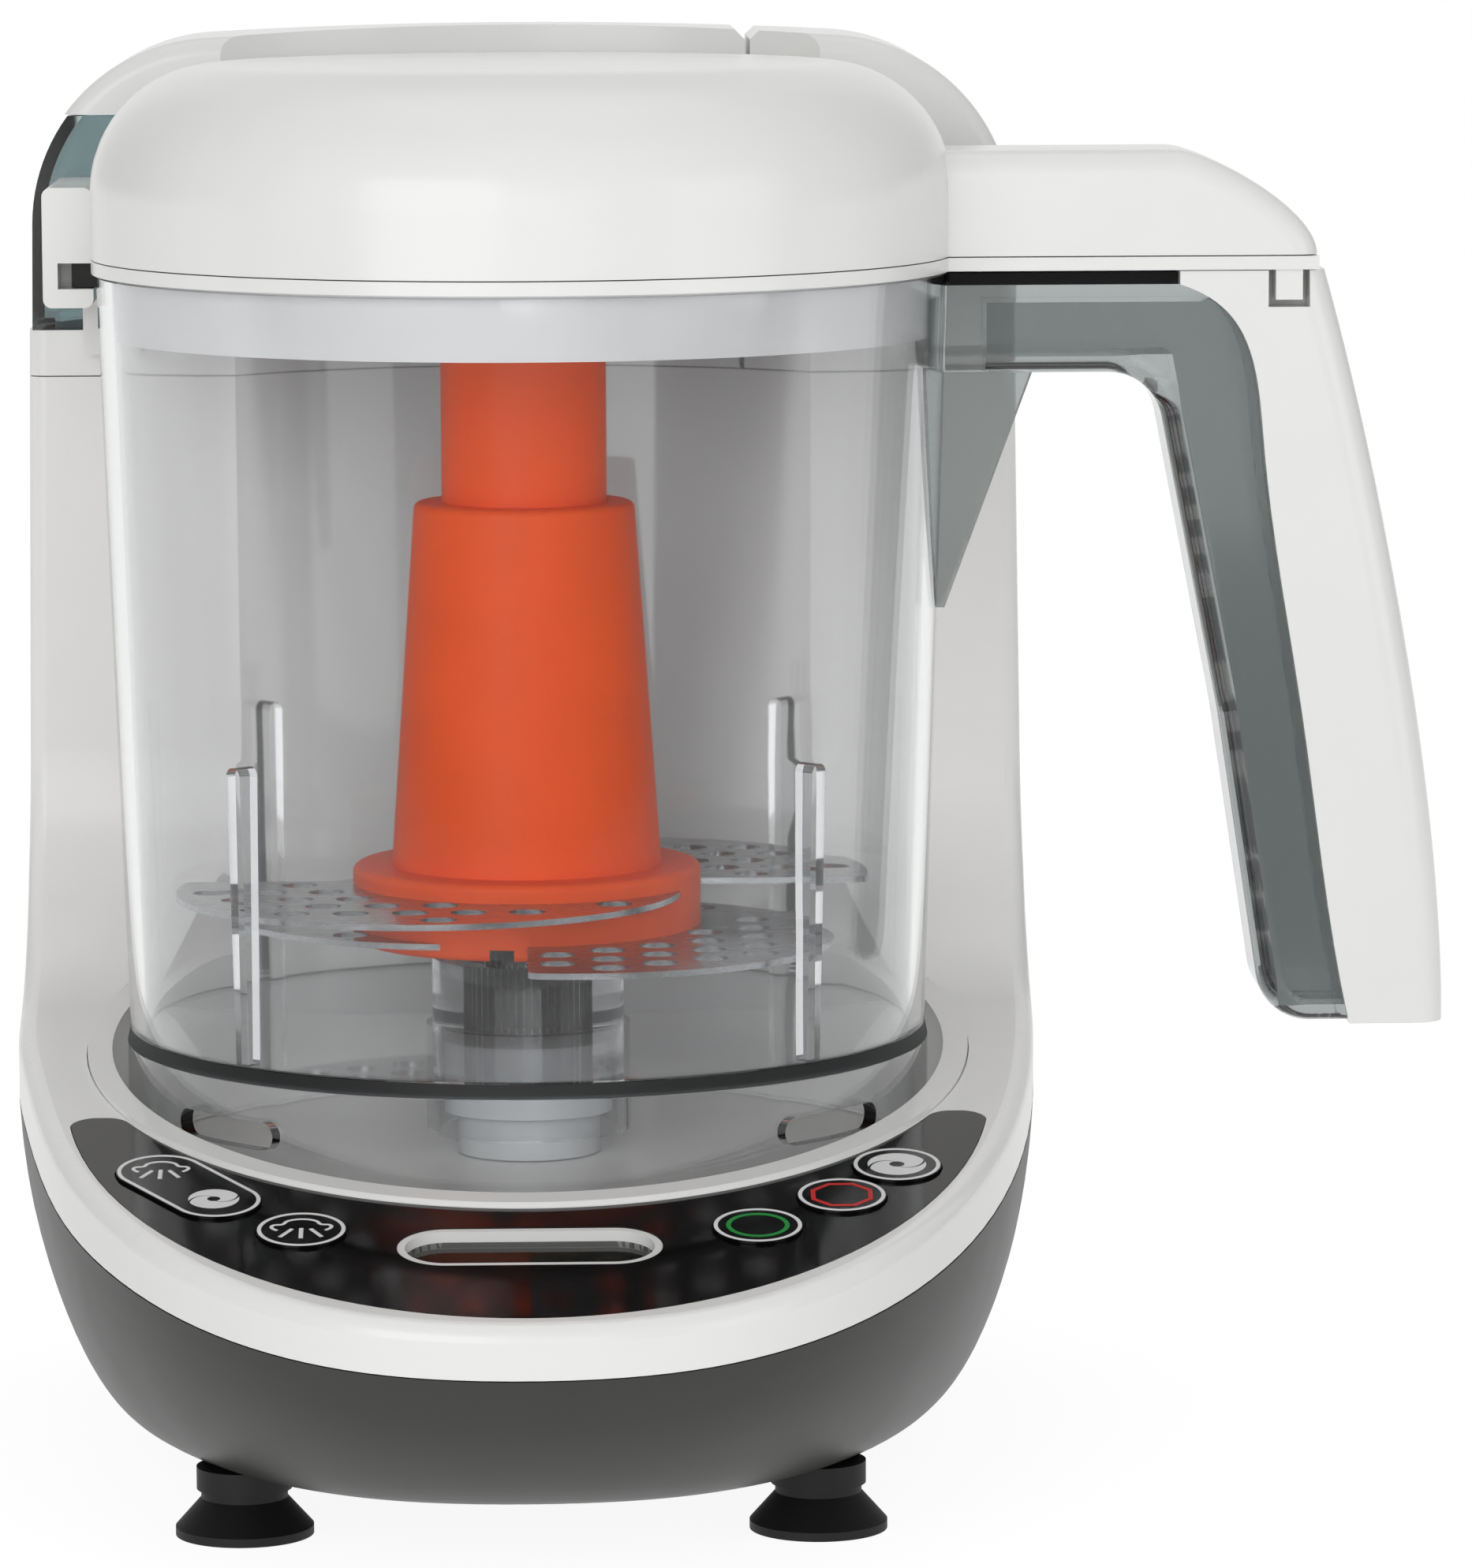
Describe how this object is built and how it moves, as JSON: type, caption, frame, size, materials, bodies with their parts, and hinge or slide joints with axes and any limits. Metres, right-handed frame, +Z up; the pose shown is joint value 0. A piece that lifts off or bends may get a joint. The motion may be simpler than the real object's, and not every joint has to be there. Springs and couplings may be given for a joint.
{
  "type": "baby food maker",
  "caption": "Baby food steamer and blender with a lift-off clear bowl, handle, lid, perforated blades, water tank, sprung control buttons and suction feet.",
  "frame": {"origin": "on the worktop plane under the middle of the overall outline", "axes": "+X to the right towards the handle, +Y to the back towards the water tower, +Z up; the control panel faces -Y"},
  "size_m": [0.2378, 0.216, 0.235],
  "materials": {
    "white_abs": "gloss white",
    "charcoal_abs": "satin charcoal",
    "panel_black": "gloss black",
    "button_black": "gloss black with a printed symbol",
    "smoke_clear": "clear, lightly smoked",
    "smoke_dark": "translucent smoke grey",
    "orange_plastic": "satin orange",
    "stainless": "brushed stainless",
    "shaft_steel": "ground steel",
    "black_rubber": "matt black",
    "silicone": "pale translucent silicone",
    "tank_blue": "translucent blue grey",
    "display_glass": "clear",
    "circuit_board": "green board",
    "component_black": "matt black",
    "nylon": "natural nylon",
    "boiler_aluminium": "cast",
    "brass_fitting": "plain",
    "motor_steel": "zinc grey"
  },
  "bodies": {
    "base": {"lower_shell": "charcoal_abs", "upper_housing": "white_abs", "bowl_well": "white_abs", "head_cap": "white_abs", "cord_gland": "black_rubber", "base_screws": "shaft_steel", "control_panel": "panel_black", "control_board": "circuit_board", "tact_switches": "component_black", "foot_front_left": "black_rubber", "foot_front_right": "black_rubber", "foot_rear_left": "black_rubber", "foot_rear_right": "black_rubber", "display_bezel": "white_abs", "display_glass": "display_glass", "lcd_module": "component_black", "motor_can": "motor_steel", "motor_plate": "motor_steel", "motor_screws": "shaft_steel", "boiler": "boiler_aluminium", "boiler_bracket": "motor_steel", "thermostat": "component_black", "water_valve": "nylon", "water_hose": "silicone", "steam_hose": "silicone", "steam_nozzle": "brass_fitting", "power_board": "circuit_board", "board_components": "component_black", "interlock_bracket": "white_abs", "interlock_switch": "component_black"},
    "bowl": {"bowl": "smoke_clear", "handle_frame": "smoke_dark", "handle_cover": "white_abs", "handle_pad": "black_rubber", "spindle_bush": "component_black", "spindle_seal": "silicone"},
    "lid": {"lid_cover": "white_abs", "lid_base": "white_abs", "lid_seal": "silicone"},
    "motor": {"motor_shaft": "shaft_steel", "drive_coupling": "component_black"},
    "blades": {"blade_hub": "orange_plastic", "hub_stem": "orange_plastic", "upper_blade": "stainless", "lower_blade": "stainless", "drive_spindle": "shaft_steel", "driven_coupling": "component_black"},
    "tank": {"water_tank": "tank_blue", "tank_collar": "white_abs", "tank_valve": "nylon", "tank_hinge_pin": "shaft_steel"},
    "tank_lid": {"tank_lid": "white_abs"},
    "plunger": {"interlock_plunger": "component_black"},
    "steam_blend_button": {"steam_blend_button": "button_black"},
    "steam_button": {"steam_button": "button_black"},
    "start_button": {"start_button": "button_black"},
    "stop_button": {"stop_button": "button_black"},
    "blend_button": {"blend_button": "button_black"}
  },
  "joints": [
    {"name": "bowl_lift", "type": "slide", "parent": "base", "child": "bowl", "axis": [0, 0, 1], "range_m": [0, 0.19]},
    {"name": "lid_lift", "type": "slide", "parent": "bowl", "child": "lid", "axis": [0, 0, 1], "range_m": [0, 0.08]},
    {"name": "motor_spin", "type": "hinge", "parent": "base", "child": "motor", "pos_m": [-0.0329, 0.014, 0.05], "axis": [0, 0, 1], "continuous": true},
    {"name": "blade_spin", "type": "hinge", "parent": "bowl", "child": "blades", "pos_m": [-0.0329, 0.014, 0.095], "axis": [0, 0, 1], "continuous": true},
    {"name": "tank_lift", "type": "slide", "parent": "base", "child": "tank", "axis": [0, 0, 1], "range_m": [0, 0.12]},
    {"name": "tank_lid_hinge", "type": "hinge", "parent": "tank", "child": "tank_lid", "pos_m": [-0.0509, 0.1056, 0.223], "axis": [-1, 0, 0], "range_deg": [0, 95]},
    {"name": "interlock_press", "type": "slide", "parent": "base", "child": "plunger", "axis": [-1, 0, 0], "range_m": [0, 0.002], "stiffness_N_per_m": 400, "springref_m": -0.002},
    {"name": "steam_blend_press", "type": "slide", "parent": "base", "child": "steam_blend_button", "axis": [0, 0.1908, -0.9816], "range_m": [0, 0.0008], "stiffness_N_per_m": 300, "springref_m": -0.001},
    {"name": "steam_press", "type": "slide", "parent": "base", "child": "steam_button", "axis": [0, 0.1908, -0.9816], "range_m": [0, 0.0008], "stiffness_N_per_m": 300, "springref_m": -0.001},
    {"name": "start_press", "type": "slide", "parent": "base", "child": "start_button", "axis": [0, 0.1908, -0.9816], "range_m": [0, 0.0008], "stiffness_N_per_m": 300, "springref_m": -0.001},
    {"name": "stop_press", "type": "slide", "parent": "base", "child": "stop_button", "axis": [0, 0.1908, -0.9816], "range_m": [0, 0.0008], "stiffness_N_per_m": 300, "springref_m": -0.001},
    {"name": "blend_press", "type": "slide", "parent": "base", "child": "blend_button", "axis": [0, 0.1908, -0.9816], "range_m": [0, 0.0008], "stiffness_N_per_m": 300, "springref_m": -0.001}
  ],
  "couplings": [
    {"joint": "motor_spin", "follows": "blade_spin", "ratio": 1}
  ]
}
